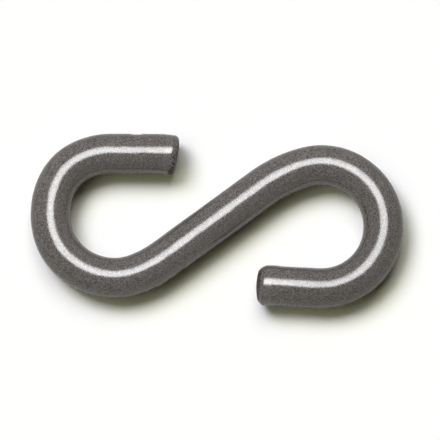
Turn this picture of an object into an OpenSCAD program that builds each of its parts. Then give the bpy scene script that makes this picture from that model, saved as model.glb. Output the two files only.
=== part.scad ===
// S hook bent from one length of round steel bar.
// The hook lies on its side with the lowest line of its eyes at z = 0. The origin is under the
// middle of the slanting shank, +X runs along the hook's length, and +Z is up, square to the
// plane that the bar is bent in.

/* [Bar] */
// Diameter of the round bar
bar_d = 8; // [6:0.1:10]

/* [Shank] */
// Slope of the shank against the hook's length
shank_slope = 36.3; // [30:0.1:43]
// Straight part of the shank, between the two hooks
shank_l = 22.6; // [18:0.1:28]

/* [Bends] */
// Radius of the easy bend that leads out of the shank, to the middle of the bar
lead_r = 25.7; // [20:0.1:32]
// Sweep of the easy bend
lead_sweep = 21.7; // [18:0.1:26]
// Radius of the close bend around the eye, to the middle of the bar
eye_r = 12.4; // [10:0.1:16]

/* [Arms] */
// Straight part of the left arm, up to its end
left_arm_l = 13.5; // [10:0.1:17]
// Lean of the left arm in towards the shank
left_arm_lean = 0.3; // [-3:0.1:4]
// Straight part of the right arm, up to its end
right_arm_l = 12.6; // [10:0.1:17]
// Lean of the right arm in towards the shank
right_arm_lean = 2.6; // [-3:0.1:4]

/* [Ends] */
// Radius of the rolled-over rim at each end
rim_r = 1.2; // [0.6:0.1:1.5]
// Radius of the slight swell of each end face
swell_r = 12; // [10:0.5:20]
// Tilt of the shear's break across the left end
break_tilt = 12; // [8:0.5:16]
// Where the break starts, from the middle of the bar out to the side away from the shank
break_start = 1.8; // [0:0.1:2.4]

/* [Hidden] */
$fn = 96;
steel = [0.40, 0.38, 0.37];

// Neighbouring lengths of bar lap into each other. The one that laps is a hair thinner, so that
// no two surfaces coincide: the shank and arms lap into the bends, and the easy bends into the eyes.
lap = 0.3;
hair = 0.02;
easy_d = bar_d - hair;
straight_d = bar_d - 2 * hair;

// A straight length of bar along +X. What follows it starts at its end.
module straight(length) {
    translate([-lap, 0, 0]) rotate([0, 90, 0]) cylinder(d = straight_d, h = length + 2 * lap);
    translate([length, 0, 0]) children();
}

// A bend to the right, from heading +X, that laps by past. What follows it starts at its end.
module bend(radius, sweep, thickness, past = 0) {
    past_sweep = past / radius * 180 / PI;
    translate([0, -radius, 0])
        rotate_extrude(angle = sweep + past_sweep, start = 90 - sweep - past_sweep)
            translate([radius, 0]) circle(d = thickness);
    translate([radius * sin(sweep), radius * (cos(sweep) - 1), 0])
        rotate([0, 0, -sweep]) children();
}

// Half of an arm's section along its axis: plain sides, the rim's arc, then the swell of the face.
module arm_section(length) {
    r = straight_d / 2;
    intersection() {
        union() {
            translate([0, -lap]) square([r, length + lap - rim_r]);
            square([r - rim_r, length]);
            translate([r - rim_r, length - rim_r]) circle(r = rim_r);
        }
        translate([0, length - swell_r]) circle(r = swell_r);
    }
}

// An arm along +X, from the end of the eye to the arm's own finished end.
module arm(length) {
    rotate([0, 90, 0]) rotate_extrude() arm_section(length);
}

// What the shear breaks off an arm: all past a plane that leans back on the shank's side.
module broken_off(length) {
    translate([length, break_start, 0]) rotate([0, 0, -break_tilt])
        translate([0, -2 * bar_d, -bar_d]) cube([bar_d, 3 * bar_d, 2 * bar_d]);
}

// One hook, from the end of the shank round to the end of its arm, closing to the right.
module hook(arm_l, arm_lean, broken) {
    bend(lead_r, lead_sweep, easy_d, lap)
        bend(eye_r, 180 + shank_slope + arm_lean - lead_sweep, bar_d)
            difference() {
                arm(arm_l);
                if (broken) broken_off(arm_l);
            }
}

module s_hook() {
    color(steel)
        translate([0, 0, bar_d / 2]) rotate([0, 0, shank_slope]) {
            translate([-shank_l / 2, 0, 0])
                straight(shank_l) hook(right_arm_l, right_arm_lean, false);
            rotate([0, 0, 180]) translate([shank_l / 2, 0, 0])
                hook(left_arm_l, left_arm_lean, true);
        }
}

s_hook();
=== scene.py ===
import math

import bpy
import numpy as np
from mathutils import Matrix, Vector


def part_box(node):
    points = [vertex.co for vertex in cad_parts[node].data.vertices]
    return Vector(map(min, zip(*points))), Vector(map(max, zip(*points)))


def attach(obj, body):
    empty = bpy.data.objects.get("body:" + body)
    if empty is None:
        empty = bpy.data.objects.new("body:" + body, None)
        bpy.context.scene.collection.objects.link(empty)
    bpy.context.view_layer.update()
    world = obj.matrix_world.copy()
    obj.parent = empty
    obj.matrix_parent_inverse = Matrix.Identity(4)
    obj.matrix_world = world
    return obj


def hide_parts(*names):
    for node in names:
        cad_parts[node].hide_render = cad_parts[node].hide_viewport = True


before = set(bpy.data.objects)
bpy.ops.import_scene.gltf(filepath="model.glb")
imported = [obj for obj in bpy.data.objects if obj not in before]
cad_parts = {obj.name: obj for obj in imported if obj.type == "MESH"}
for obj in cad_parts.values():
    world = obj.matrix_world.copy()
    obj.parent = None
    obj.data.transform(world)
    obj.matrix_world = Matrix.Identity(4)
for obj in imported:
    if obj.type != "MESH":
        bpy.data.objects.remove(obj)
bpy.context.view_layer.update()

# An S hook bent from one length of round steel bar. It lies on its side on a pale floor.

MM = 0.001

# The bar's radius comes from the frame, and its bends have the sizes that they have in the CAD. Each
# hook leaves the slanting shank by an easy bend, goes round its eye in a close bend and ends in a
# straight arm. The right arm is 0.12 mm shorter than the CAD's.
BAR_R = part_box("s_hook")[1].z / 2
SHANK_SLOPE = math.radians(36.3)
SHANK_L = 22.6 * MM
LEAD_R = 25.7 * MM
LEAD_SWEEP = math.radians(21.7)
EYE_R = 12.4 * MM
LEFT_ARM_L = 13.5 * MM
LEFT_ARM_LEAN = math.radians(0.3)
RIGHT_ARM_L = 12.48 * MM
RIGHT_ARM_LEAN = math.radians(2.6)

# How long each change of curvature takes: from the shank to the easy bend, on to the eye and on to
# the arm.
EASINGS = (4.0 * MM, 3.0 * MM, 3.0 * MM)

# Each end of the bar has a rolled-over rim and a slightly swollen face. On the left end a shear's
# break slants back across the shank's side of the face, and its rim is drawn out along the top.
RIM_R = 1.5 * MM
RIM_L = 1.25 * MM
RIM_SIDE = -0.4 * MM
RIM_TOP = -0.45 * MM
SWELL_R = 12.0 * MM
BROKEN_RIM_R = 1.05 * MM
BROKEN_RIM_L = 0.5 * MM
BROKEN_RIM_SIDE = 0.15 * MM
BROKEN_RIM_TOP = 0.75 * MM
BROKEN_SWELL_R = 45.0 * MM
BREAK_TILT = math.radians(11.0)
BREAK_START = 1.9 * MM
BREAK_EDGE = 0.1 * MM

# The wall starts to turn in by TURN_IN a little before each rim. It fades out over TURN_IN_L, beyond
# TURN_IN_FROM from the middle of the end.
TURN_IN = 0.045 * MM
TURN_IN_FROM = 4.3 * MM
TURN_IN_L = 0.55 * MM

# The heights of the drawn bar's unevenness, from its long waves to its grit.
WAVES = 0.030 * MM
RIPPLES = 0.010 * MM
GRIT = 0.004 * MM

# The bar isn't bent quite true. Each row is one fault in the left hook's bending, the last of them
# where the eye meets the easy bend: its middle along the bar, its half-length, and how far it puts the
# bar to its left.
BENDS = (
    (-54.0, 5.0, -0.3),
    (-43.0, 5.0, 0.2),
    (-20.0, 6.0, -0.4),
)

# The bending skewed the bar's section in the right hook: where the easy bend meets the eye, in the
# eye, and at the end of the arm. Each row is the middle, the half-length, and the rise to the left
# over the way to the left.
SKEWS = (
    (24.0, 7.0, 0.04),
    (39.0, 7.0, 0.06),
    (74.0, 6.0, -0.03),
)

# Places that the bending tool and the shear pressed in or pushed out: where along the bar each starts
# and ends, how soft its ends are, where around the bar it is (0 is its left side, 90 its top), its
# half-width around it, and its height.
MARKS = (
    (-78.0, -76.2, 3.2, 180.0, 50.0, -0.26),
    (-78.0, -73.4, 0.5, 0.0, 50.0, 0.16),
    (-68.9, -67.3, 0.5, 180.0, 30.0, -0.13),
    (-16.2, -15.0, 0.5, 180.0, 24.0, 0.10),
    (-12.2, -11.0, 0.5, 180.0, 24.0, -0.10),
    (21.4, 23.2, 1.0, 180.0, 34.0, -0.09),
    (64.2, 66.0, 0.8, 0.0, 30.0, 0.11),
    (-43.6, -43.3, 0.3, 93.0, 10.0, -0.025),
    (25.6, 25.9, 0.3, 72.0, 6.0, 0.025),
    (72.6, 72.9, 0.3, 83.0, 14.0, -0.025),
    (72.0, 78.0, 0.5, 180.0, 55.0, 0.10),
)

# The camera leans from straight above, towards the hook's near side, and has a long lens. VIEW_WIDTH is
# what it sees at the hook, and AIM_X and AIM_Y are where it looks.
CAMERA_TILT = math.radians(8.0)
LENS_MM = 500.0
SENSOR_MM = 36.0
VIEW_WIDTH = 88.0 * MM
AIM_X = 0.7 * MM
AIM_Y = 0.16 * MM

# The softbox: its angle from straight up, its bearing, how far off it is, and the angles that half its
# width and half its length take up.
SOFTBOX_TILT = math.radians(14.5)
SOFTBOX_BEARING = math.radians(-5.0)
SOFTBOX_DISTANCE = 2.0
SOFTBOX_HALF_WIDTH = SOFTBOX_DISTANCE * math.tan(math.radians(20.5))
SOFTBOX_HALF_LENGTH = SOFTBOX_DISTANCE * math.tan(math.radians(18.0))
SOFTBOX_COLOUR = (0.93, 1.0, 1.07)
SOFTBOX_LIGHT = 10.3

# The share of light that the floor returns.
FLOOR_WHITE = 0.97

# How finely the surface is laid out.
AROUND = 120
RING_GAP = 0.215 * MM
FACE_RINGS = 26
RIM_RINGS = 16
LINE_STEP = 0.02 * MM

# How far along the wall its rings take to become square to the bar after an end.
SQUARE_L = 6.0 * MM


# ---------------------------------------------------------------------------------------------
# The bar's shape
# ---------------------------------------------------------------------------------------------

def lattice_noise(places, cell, seed):
    """Smooth noise from -1 to 1: random numbers at the corners of cells of that size, blended inside
    each cell by the smooth step 3t^2 - 2t^3 along each of its three axes."""
    side = 32
    corners = np.random.default_rng(seed).uniform(-1.0, 1.0, (side, side, side))
    scaled = places / np.asarray(cell)
    whole = np.floor(scaled).astype(int)
    t = scaled - whole
    t = t * t * (3.0 - 2.0 * t)
    total = np.zeros(places.shape[:-1])
    for dx in (0, 1):
        for dy in (0, 1):
            for dz in (0, 1):
                weight = (
                    np.where(dx, t[..., 0], 1.0 - t[..., 0])
                    * np.where(dy, t[..., 1], 1.0 - t[..., 1])
                    * np.where(dz, t[..., 2], 1.0 - t[..., 2])
                )
                i, j, k = ((whole[..., n] + d) % side for n, d in enumerate((dx, dy, dz)))
                total += weight * corners[i, j, k]
    return total


def smooth_step(x, low, high):
    """0 below low, 1 above high and 3t^2 - 2t^3 between them."""
    t = np.clip((x - low) / (high - low), 0.0, 1.0)
    return t * t * (3.0 - 2.0 * t)


def soft_max(a, b, width):
    """The larger of a and b, with the corner between them rounded: the mean of the two plus half the
    root of their difference squared plus width squared."""
    return (a + b + np.sqrt((a - b) ** 2 + width**2)) / 2


def half_centre_line(arm_l, arm_lean):
    """The bar's centre line from the middle of the shank round to the end of one arm: its length s,
    its points and its heading. The curvature is that of the shank, the easy bend, the eye and the
    arm in turn, each passing into the next over a few millimetres. Heading is its running sum, and
    place the running sum of the heading's cosine and sine."""
    lengths = np.array(
        [SHANK_L / 2, LEAD_R * LEAD_SWEEP, EYE_R * (math.pi + SHANK_SLOPE + arm_lean - LEAD_SWEEP), arm_l]
    )
    joins = np.cumsum(lengths)[:-1]
    step = LINE_STEP
    s = np.arange(0.0, lengths.sum() + step, step)
    curvature = np.zeros_like(s)
    turns = np.array([0.0, 1 / LEAD_R, 1 / EYE_R, 0.0])
    for join, change, blend in zip(joins, np.diff(turns), EASINGS):
        curvature += change * smooth_step(s, join - blend / 2, join + blend / 2)
    heading = SHANK_SLOPE - np.concatenate([[0.0], np.cumsum((curvature[1:] + curvature[:-1]) / 2 * step)])
    middle = (heading[1:] + heading[:-1]) / 2
    x = np.concatenate([[0.0], np.cumsum(np.cos(middle) * step)])
    y = np.concatenate([[0.0], np.cumsum(np.sin(middle) * step)])
    return s, x, y, heading


def bar_centre_line():
    """The whole centre line, by the signed length from the middle of the shank: the left half is
    the other half's kind of curve, turned half a turn about the middle."""
    s_right, x_right, y_right, h_right = half_centre_line(RIGHT_ARM_L, RIGHT_ARM_LEAN)
    s_left, x_left, y_left, h_left = half_centre_line(LEFT_ARM_L, LEFT_ARM_LEAN)
    s = np.concatenate([-s_left[:0:-1], s_right])
    x = np.concatenate([-x_left[:0:-1], x_right])
    y = np.concatenate([-y_left[:0:-1], y_right])
    heading = np.concatenate([h_left[:0:-1], h_right])
    return s, x, y, heading


def bells(s, rows):
    """What the rows of a list come to along the bar: each gives its last value times the bell
    exp(-((s - middle) / half-length)^2), and they are added up."""
    middle, half_length, amount = np.array(rows).T
    away = (s[..., None] / MM - middle) / half_length
    return (amount * np.exp(-(away**2))).sum(axis=-1)


def pressed_marks(s, angle):
    """The height of the marks: each is its own height times a plateau along the bar times the bell
    exp(-(turn / half-width)^2) around it."""
    total = np.zeros(np.broadcast(s, angle).shape)
    for start, end, soft, middle, half_width, height in MARKS:
        rise = smooth_step(s, (start - soft) * MM, start * MM)
        fall = smooth_step(s, end * MM, (end + soft) * MM)
        plateau = rise * (1.0 - fall)
        turn = np.arctan2(np.sin(angle - math.radians(middle)), np.cos(angle - math.radians(middle)))
        total += height * MM * plateau * np.exp(-((turn / math.radians(half_width)) ** 2))
    return total


def end_drop(radius, side, up, broken):
    """How far the end's surface lies behind the bar's tip at a distance from the axis, side of which
    is away from the shank and up of which is upwards: the swollen face, radius^2 over twice the
    swelling's radius, plus the rim's quarter ellipse, which is shorter on top and away from the
    shank. On the broken end the face is cut back to the break's plane, which deepens steadily towards
    the shank, and the rim is longer on top and shorter by the shank."""
    top = np.clip(up / BAR_R, 0.0, 1.0) ** 2
    if broken:
        plane = (BREAK_START - side) * math.tan(BREAK_TILT)
        face = soft_max(radius**2 / (2 * BROKEN_SWELL_R), plane, BREAK_EDGE)
        rim_r = BROKEN_RIM_R
        rim_l = BROKEN_RIM_L + BROKEN_RIM_SIDE * side / BAR_R + BROKEN_RIM_TOP * top
    else:
        face = radius**2 / (2 * SWELL_R)
        rim_r = RIM_R
        rim_l = RIM_L + RIM_SIDE * side / BAR_R + RIM_TOP * top
    out = np.clip((radius - (BAR_R - rim_r)) / rim_r, 0.0, 1.0)
    return face + rim_l * (1.0 - np.sqrt(1.0 - out**2))


def end_radii(rim_r):
    """The rings' distances from the axis on an end, from its middle out: even over the face, then
    round the rim's quarter turn, and the wall's full radius last."""
    face = np.linspace(0.0, BAR_R - rim_r, FACE_RINGS, endpoint=False)[1:]
    turn = np.linspace(0.0, math.pi / 2, RIM_RINGS)
    rim = BAR_R - rim_r + rim_r * np.sin(turn)
    return np.concatenate([face, rim])


def bar_surface():
    """The bar as a grid of rings from the left end's middle to the right end's. A point lies on its
    ring's section, square to the centre line: at the angle a and the distance r from the axis it is
    the centre plus r cos a to the left of the heading plus r sin a upwards. The marks then swell it,
    the faults in the bending move it to the left, and the skew lifts it. Returns the points, each
    point's place in the bar before it was bent, and what else is spread over the surface: how far over
    it each point is from the middle of the nearer end."""
    s_line, x_line, y_line, heading_line = bar_centre_line()
    s_low, s_high = s_line[0], s_line[-1]
    angle = (np.arange(AROUND) * 2 * math.pi / AROUND)[None, :]
    left_r = np.repeat(end_radii(BROKEN_RIM_R)[:, None], AROUND, axis=1)
    right_r = np.repeat(end_radii(RIM_R)[:, None], AROUND, axis=1)
    # The left arm runs back to the shank with the shank on its left, so away from it is to the right.
    left_drop = end_drop(left_r, -left_r * np.cos(angle), left_r * np.sin(angle), True)
    right_drop = end_drop(right_r, right_r * np.cos(angle), right_r * np.sin(angle), False)
    gap = np.arange(1, int((s_high - s_low - 2 * RIM_L) / RING_GAP)) * RING_GAP
    to_left = 1.0 - smooth_step(gap, 0.0, SQUARE_L)[:, None]
    to_right = smooth_step(gap, gap[-1] - SQUARE_L, gap[-1] + RING_GAP)[:, None]
    wall_s = s_low + RIM_L + gap[:, None] + (left_drop[-1] - RIM_L) * to_left
    wall_s = wall_s - (right_drop[-1] - RIM_L) * to_right
    wall_r = np.full(wall_s.shape, BAR_R)
    s = np.concatenate([s_low + left_drop, wall_s, (s_high - right_drop)[::-1]])
    r = np.concatenate([left_r, wall_r, right_r[::-1]])

    heading = np.interp(s, s_line, heading_line)
    centre_x = np.interp(s, s_line, x_line)
    centre_y = np.interp(s, s_line, y_line)
    side = r * np.cos(angle)
    up = r * np.sin(angle)
    unbent = np.stack([s, side, up], axis=-1)
    step = np.linalg.norm(np.diff(unbent, axis=0), axis=-1)
    from_left = r[0] + np.concatenate([np.zeros((1, AROUND)), np.cumsum(step, axis=0)])
    from_end = np.minimum(from_left, from_left[-1] + r[-1] - from_left)

    on_wall = smooth_step(r, 0.0, BAR_R)
    waves = WAVES * lattice_noise(unbent, (9 * MM, 5 * MM, 5 * MM), 11)
    ripples = RIPPLES * lattice_noise(unbent, (1.6 * MM, 1.0 * MM, 1.0 * MM), 12)
    grit = GRIT * lattice_noise(unbent, (0.5 * MM, 0.5 * MM, 0.5 * MM), 13)
    turning_in = TURN_IN * np.exp(-np.maximum(from_end - TURN_IN_FROM, 0.0) / TURN_IN_L)
    swelling = (pressed_marks(s, angle) + waves + ripples + grit - turning_in) * on_wall
    side = side + swelling * np.cos(angle) + MM * bells(s, BENDS)
    up = up + swelling * np.sin(angle) + bells(s, SKEWS) * side * on_wall
    points = np.stack(
        [
            centre_x - side * np.sin(heading),
            centre_y + side * np.cos(heading),
            np.maximum(BAR_R + up, 0.0),
        ],
        axis=-1,
    )
    return points, unbent, {"from_end_mm": from_end / MM}


def closed_rings(name, points, unbent, spread):
    """A mesh of quads between neighbouring rings, with a fan to one middle point at each end. It keeps
    each point's unbent place in millimetres, and the other values that are spread over it."""
    rings, around = points.shape[:2]

    def with_ends(values):
        ends = np.stack([values[0].mean(axis=0), values[-1].mean(axis=0)])
        return np.concatenate([values.reshape(rings * around, -1), ends.reshape(2, -1)])

    ring, spoke = np.meshgrid(np.arange(rings - 1), np.arange(around), indexing="ij")
    after = (spoke + 1) % around
    this_ring = ring * around
    next_ring = this_ring + around
    quads = np.stack(
        [this_ring + spoke, this_ring + after, next_ring + after, next_ring + spoke],
        axis=-1,
    ).reshape(-1, 4)
    spoke = np.arange(around)
    after = (spoke + 1) % around
    end = (rings - 1) * around
    first_fan = np.stack([np.full(around, rings * around), after, spoke], axis=-1)
    last_fan = np.stack([np.full(around, rings * around + 1), end + spoke, end + after], axis=-1)
    mesh = bpy.data.meshes.new(name)
    faces = quads.tolist() + first_fan.tolist() + last_fan.tolist()
    mesh.from_pydata(with_ends(points).tolist(), [], faces)
    mesh.shade_smooth()
    place = mesh.attributes.new("unbent_mm", "FLOAT_VECTOR", "POINT")
    place.data.foreach_set("vector", (with_ends(unbent) / MM).astype(np.float32).ravel())
    for key, values in spread.items():
        kept = mesh.attributes.new(key, "FLOAT", "POINT")
        kept.data.foreach_set("value", with_ends(values).astype(np.float32).ravel())
    mesh.validate()
    return mesh


# ---------------------------------------------------------------------------------------------
# Nodes
# ---------------------------------------------------------------------------------------------

class Wire:
    """A number, colour or shader on its way between nodes. Arithmetic on wires adds Math nodes."""

    def __init__(self, board, socket):
        self.board = board
        self.socket = socket

    def math(self, operation, *values):
        return self.board.node("ShaderNodeMath", {"operation": operation}, dict(enumerate(values)))

    def __add__(self, other):
        return self.math("ADD", self, other)

    def __radd__(self, other):
        return self.math("ADD", other, self)

    def __sub__(self, other):
        return self.math("SUBTRACT", self, other)

    def __rsub__(self, other):
        return self.math("SUBTRACT", other, self)

    def __mul__(self, other):
        return self.math("MULTIPLY", self, other)

    def __rmul__(self, other):
        return self.math("MULTIPLY", other, self)

    def at_most(self, other):
        return self.math("MINIMUM", self, other)

    def step_up(self, low, high):
        """0 below low, 1 above high and a smooth rise between them."""
        settings = {"interpolation_type": "SMOOTHSTEP"}
        sockets = {"Value": self, "From Min": low, "From Max": high, "To Min": 0.0, "To Max": 1.0}
        return self.board.node("ShaderNodeMapRange", settings, sockets)


class Board:
    """The nodes of one finish, lamp or world."""

    def __init__(self, owner):
        owner.use_nodes = True
        self.tree = owner.node_tree
        self.tree.nodes.clear()

    def node(self, kind, settings, sockets, output=0):
        """Adds a node of a kind, sets its settings, then fills each socket with a value or a wire."""
        made = self.tree.nodes.new(kind)
        for name, value in settings.items():
            setattr(made, name, value)
        for name, value in sockets.items():
            if isinstance(value, Wire):
                self.tree.links.new(value.socket, made.inputs[name])
            else:
                made.inputs[name].default_value = value
        return Wire(self, made.outputs[output]) if made.outputs else None

    def mirrored(self):
        """1 for what is seen in the steel or through glass, but 0 for light that the steel throws on."""
        path = self.node("ShaderNodeLightPath", {}, {}, "Is Glossy Ray")
        through = self.node("ShaderNodeLightPath", {}, {}, "Is Transmission Ray")
        spread = self.node("ShaderNodeLightPath", {}, {}, "Diffuse Depth")
        return (path + through).at_most(1.0) * (1.0 - spread.at_most(1.0))

    def scaled(self, vector, factors):
        """A vector with each of its parts multiplied by its own factor."""
        return self.node("ShaderNodeVectorMath", {"operation": "MULTIPLY"}, {0: vector, 1: factors})

    def noise(self, vector, detail):
        """Cloudy noise from 0 to 1, one cloud to each unit of the vector."""
        sockets = {"Vector": vector, "Scale": 1.0, "Detail": detail, "Roughness": 0.5}
        return self.node("ShaderNodeTexNoise", {}, sockets)

    def blend(self, amount, first, second):
        """A colour that goes from first to second as amount goes from 0 to 1."""
        sockets = {"Factor": amount, "A": first, "B": second}
        made = self.tree.nodes.new("ShaderNodeMix")
        made.data_type = "RGBA"
        for name, value in sockets.items():
            found = [s for s in made.inputs if s.name == name and s.enabled][0]
            if isinstance(value, Wire):
                self.tree.links.new(value.socket, found)
            else:
                found.default_value = value
        return Wire(self, [s for s in made.outputs if s.enabled][0])


# ---------------------------------------------------------------------------------------------
# Finishes
# ---------------------------------------------------------------------------------------------

def bare_steel():
    """Dark bare steel: bright metal with faint draw lines, seen through a thin skin of matt oxide
    with a fine grain and a few darker pits. The rims of its ends are rougher and darker, partly the
    sheared steel's own colour and partly a painted shade line along each rim's edge, and the break is
    crumbled by the shank's side of the left end."""
    finish = bpy.data.materials.new("bare_steel")
    board = Board(finish)
    unbent = board.node("ShaderNodeAttribute", {"attribute_name": "unbent_mm"}, {}, "Vector")
    from_end = board.node("ShaderNodeAttribute", {"attribute_name": "from_end_mm"}, {}, "Fac")
    along = board.node("ShaderNodeSeparateXYZ", {}, {"Vector": unbent}, "X")
    side = board.node("ShaderNodeSeparateXYZ", {}, {"Vector": unbent}, "Y")
    grain = board.noise(board.scaled(unbent, (5.2, 5.2, 5.2)), 0.0)
    speckle = board.noise(board.scaled(unbent, (2.9, 2.9, 2.9)), 1.0)
    mottle = board.noise(board.scaled(unbent, (1.3, 1.6, 1.6)), 2.0)
    lines = board.noise(board.scaled(unbent, (0.25, 3.4, 3.4)), 2.0)
    clouds = board.noise(board.scaled(unbent, (0.12, 0.3, 0.3)), 2.0)
    pits = board.noise(board.scaled(unbent, (2.6, 2.6, 2.6)), 2.0).step_up(0.64, 0.76)
    crumbs = board.noise(board.scaled(unbent, (3.1, 3.1, 3.1)), 1.0)

    crumbled = (1.0 - along.step_up(-5.0, 5.0)) * side.step_up(0.0, 2.0)
    # The ends' faces and rims: sheared steel that is rougher and darker, with a painted shade line along
    # each rim's edge.
    cut_and_rim_shade = 1.0 - (from_end - crumbled * 1.5 + (mottle - 0.5) * 1.5).step_up(3.25, 3.75)
    broken = cut_and_rim_shade * crumbled
    chips = cut_and_rim_shade * crumbs.step_up(0.5, 0.62)
    corner = broken * side.step_up(3.4, 3.85)
    # Just behind each rim the metal's colour is painted brighter: a painted glint where the bright line
    # ends.
    painted_glint = from_end.step_up(4.6, 5.2) * (1.0 - from_end.step_up(5.6, 6.4))
    # Round the right eye and into its arm the metal's colour is darker, which dims the bright line there.
    darker_round_right_eye = along.step_up(34.0, 44.0) * (1.0 - along.step_up(64.0, 72.0))

    fine_tone = (grain - 0.5) * 1.3 + (speckle - 0.5) * 0.6 + (mottle - 0.5) * 0.5
    tone = fine_tone + (lines - 0.5) * 0.8 + (clouds - 0.5) * 0.6 + painted_glint * 0.9 - darker_round_right_eye * 0.4 + 0.45
    bright = board.blend(tone - cut_and_rim_shade * 0.5, (0.107, 0.099, 0.093, 1.0), (0.152, 0.140, 0.131, 1.0))
    fine = (grain - 0.5) * 2.0 + (speckle - 0.5) * 2.0 + (mottle - 0.5) * 0.6
    crumbly = broken * from_end.step_up(2.6, 3.4) * ((crumbs - 0.5) * 9.0 + 0.7)
    spots = fine * (1.0 - cut_and_rim_shade * 0.6) - pits * 0.5 - cut_and_rim_shade * 0.35 + crumbly - corner * 1.0 + 0.5
    dull = board.blend(spots, (0.0, 0.0, 0.0, 1.0), (0.283, 0.255, 0.241, 1.0))
    roughness = 0.2 + (mottle - 0.5) * 0.05 + (lines - 0.5) * 0.06 + cut_and_rim_shade * 0.2
    height = mottle * 0.5 + speckle * 0.2 + lines * 0.3 - pits * 0.4 - chips * (3.0 + broken * 4.0)
    normal = board.node("ShaderNodeBump", {}, {"Height": height, "Strength": 0.2, "Distance": 0.02 * MM})
    sockets = {"Base Color": bright, "Metallic": 1.0, "Roughness": roughness, "Normal": normal}
    metal = board.node("ShaderNodeBsdfPrincipled", {}, sockets)
    sockets = {"Base Color": dull, "Metallic": 0.0, "Roughness": 0.7, "Normal": normal}
    sockets["Specular IOR Level"] = 0.0
    skin = board.node("ShaderNodeBsdfPrincipled", {}, sockets)
    shader = board.node("ShaderNodeMixShader", {}, {0: 0.32 + cut_and_rim_shade * 0.4, 1: metal, 2: skin})
    board.node("ShaderNodeOutputMaterial", {}, {"Surface": shader})
    return finish


def white_floor():
    """Matt white board. What it shows to the steel is mostly its own white, and partly the hook's
    shadow on it."""
    finish = bpy.data.materials.new("white_floor")
    board = Board(finish)
    matt = board.node("ShaderNodeBsdfDiffuse", {}, {"Color": (FLOOR_WHITE, FLOOR_WHITE, FLOOR_WHITE, 1.0)})
    white = board.node("ShaderNodeEmission", {}, {"Color": (1.0, 1.0, 1.0, 1.0), "Strength": 1.0})
    shader = board.node("ShaderNodeMixShader", {}, {0: board.mirrored() * 0.15, 1: matt, 2: white})
    board.node("ShaderNodeOutputMaterial", {}, {"Surface": shader})
    return finish


# ---------------------------------------------------------------------------------------------
# The hook
# ---------------------------------------------------------------------------------------------

def make_hook():
    mesh = closed_rings("bent_bar", *bar_surface())
    hook = bpy.data.objects.new("bent_bar", mesh)
    bpy.context.scene.collection.objects.link(hook)
    mesh.materials.append(bare_steel())
    # The hook isn't mirrored in itself.
    hook.visible_glossy = False
    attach(hook, "root")
    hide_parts("s_hook")


# ---------------------------------------------------------------------------------------------
# The studio
# ---------------------------------------------------------------------------------------------

def flat_sheet(name, width, length):
    """A rectangle in its own XY plane, centred on its origin and facing up."""
    corners = np.array([[-1, -1, 0], [1, -1, 0], [1, 1, 0], [-1, 1, 0]]) * [width / 2, length / 2, 0]
    mesh = bpy.data.meshes.new(name)
    mesh.from_pydata(corners.tolist(), [], [[0, 1, 2, 3]])
    sheet = bpy.data.objects.new(name, mesh)
    bpy.context.scene.collection.objects.link(sheet)
    return sheet


def direction(tilt, bearing):
    """The way to a lamp: tilt is its angle from straight up, and bearing turns from +Y to +X."""
    return Vector((math.sin(tilt) * math.sin(bearing), math.sin(tilt) * math.cos(bearing), math.cos(tilt)))


def make_floor():
    floor = flat_sheet("floor", 6.0, 6.0)
    floor.data.materials.append(white_floor())


def make_lamp(name, tilt, bearing, size, light):
    """A round soft lamp, far away, that gives the floor this much light in red, green and blue. Where
    the lamps' light adds up to 1 the floor is white. It isn't mirrored in the steel."""
    brightest = max(light)
    lamp = bpy.data.lights.new(name, "SUN")
    lamp.energy = brightest * math.pi / (FLOOR_WHITE * math.cos(math.radians(tilt)))
    lamp.color = [part / brightest for part in light]
    lamp.angle = math.radians(size)
    holder = bpy.data.objects.new(name, lamp)
    way = direction(math.radians(tilt), math.radians(bearing))
    holder.rotation_euler = way.to_track_quat("Z", "Y").to_euler()
    holder.visible_glossy = False
    bpy.context.scene.collection.objects.link(holder)


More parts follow.
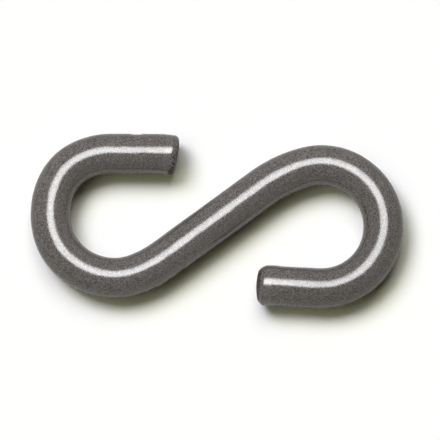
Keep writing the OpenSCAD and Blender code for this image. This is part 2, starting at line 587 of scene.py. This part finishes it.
def make_softbox():
    """The large softbox that is mirrored in the steel as a bright line: a sheet with rounded corners,
    brightest a little beyond its middle."""
    way = direction(SOFTBOX_TILT, SOFTBOX_BEARING)
    box = flat_sheet("softbox", 2.2 * SOFTBOX_HALF_WIDTH, 2.2 * SOFTBOX_HALF_LENGTH)
    box.location = way * SOFTBOX_DISTANCE
    box.rotation_euler = way.to_track_quat("Z", "Y").to_euler()
    finish = bpy.data.materials.new("softbox_cloth")
    board = Board(finish)
    place = board.node("ShaderNodeTexCoord", {}, {}, "Object")
    place = board.scaled(place, (1.0 / SOFTBOX_HALF_WIDTH, 1.0 / SOFTBOX_HALF_LENGTH, 0.0))
    across = board.node("ShaderNodeSeparateXYZ", {}, {"Vector": place}, "X")
    along = board.node("ShaderNodeSeparateXYZ", {}, {"Vector": place}, "Y")
    near = along * 1.8
    across = across * across
    along = along * along
    inside = 1.0 - (across * across + along * along).step_up(0.75, 1.15)
    strength = inside * board.mirrored() * (SOFTBOX_LIGHT + near - (across + along) * 2.2)
    sockets = {0: SOFTBOX_COLOUR, "Scale": strength}
    light = board.node("ShaderNodeVectorMath", {"operation": "SCALE"}, sockets)
    shader = board.node("ShaderNodeEmission", {}, {"Color": light, "Strength": 1.0})
    clear = board.node("ShaderNodeBsdfTransparent", {}, {})
    shader = board.node("ShaderNodeMixShader", {}, {0: inside, 1: clear, 2: shader})
    board.node("ShaderNodeOutputMaterial", {}, {"Surface": shader})
    box.data.materials.append(finish)
    box.visible_camera = False
    box.visible_diffuse = False
    box.visible_shadow = False


def make_room():
    """A pale room that is brighter on the far side, and dim for what lights the floor."""
    room = bpy.data.worlds.new("room")
    bpy.context.scene.world = room
    board = Board(room)
    way = board.node("ShaderNodeTexCoord", {}, {}, "Generated")
    far = board.node("ShaderNodeSeparateXYZ", {}, {"Vector": way}, "Y")
    mirrored = board.mirrored()
    camera = board.node("ShaderNodeLightPath", {}, {}, "Is Camera Ray")
    seen = (mirrored + camera).at_most(1.0)
    strength = 1.0 + mirrored * (far * 0.16 - 0.02)
    bright = board.node("ShaderNodeBackground", {}, {"Color": (1.0, 1.0, 1.0, 1.0), "Strength": strength})
    dim = board.node("ShaderNodeBackground", {}, {"Color": (1.0, 1.0, 0.4, 1.0), "Strength": 0.03})
    shader = board.node("ShaderNodeMixShader", {}, {0: seen, 1: dim, 2: bright})
    board.node("ShaderNodeOutputWorld", {}, {"Surface": shader})


def make_camera():
    """A long lens over the hook, a little towards its near side."""
    data = bpy.data.cameras.new("camera")
    data.sensor_width = SENSOR_MM
    data.lens = LENS_MM
    distance = VIEW_WIDTH * LENS_MM / SENSOR_MM
    camera = bpy.data.objects.new("camera", data)
    aim = Vector((AIM_X, AIM_Y, BAR_R))
    lean = Vector((0.0, -math.sin(CAMERA_TILT), math.cos(CAMERA_TILT)))
    camera.location = aim + lean * distance
    camera.rotation_euler = (CAMERA_TILT, 0.0, 0.0)
    bpy.context.scene.collection.objects.link(camera)
    bpy.context.scene.camera = camera


make_hook()
make_floor()
make_lamp("upper_left", 34.0, -45.0, 28.0, (0.59, 0.58, 0.53))
make_lamp("upper", 33.0, 5.0, 32.0, (0.30, 0.30, 0.26))
make_lamp("lower_left", 32.0, -105.0, 31.0, (0.09, 0.09, 0.06))
make_lamp("low_blue", 41.0, -38.0, 36.0, (0.0, 0.01, 0.13))
make_softbox()
make_room()
make_camera()
bpy.context.scene.view_settings.view_transform = "Standard"
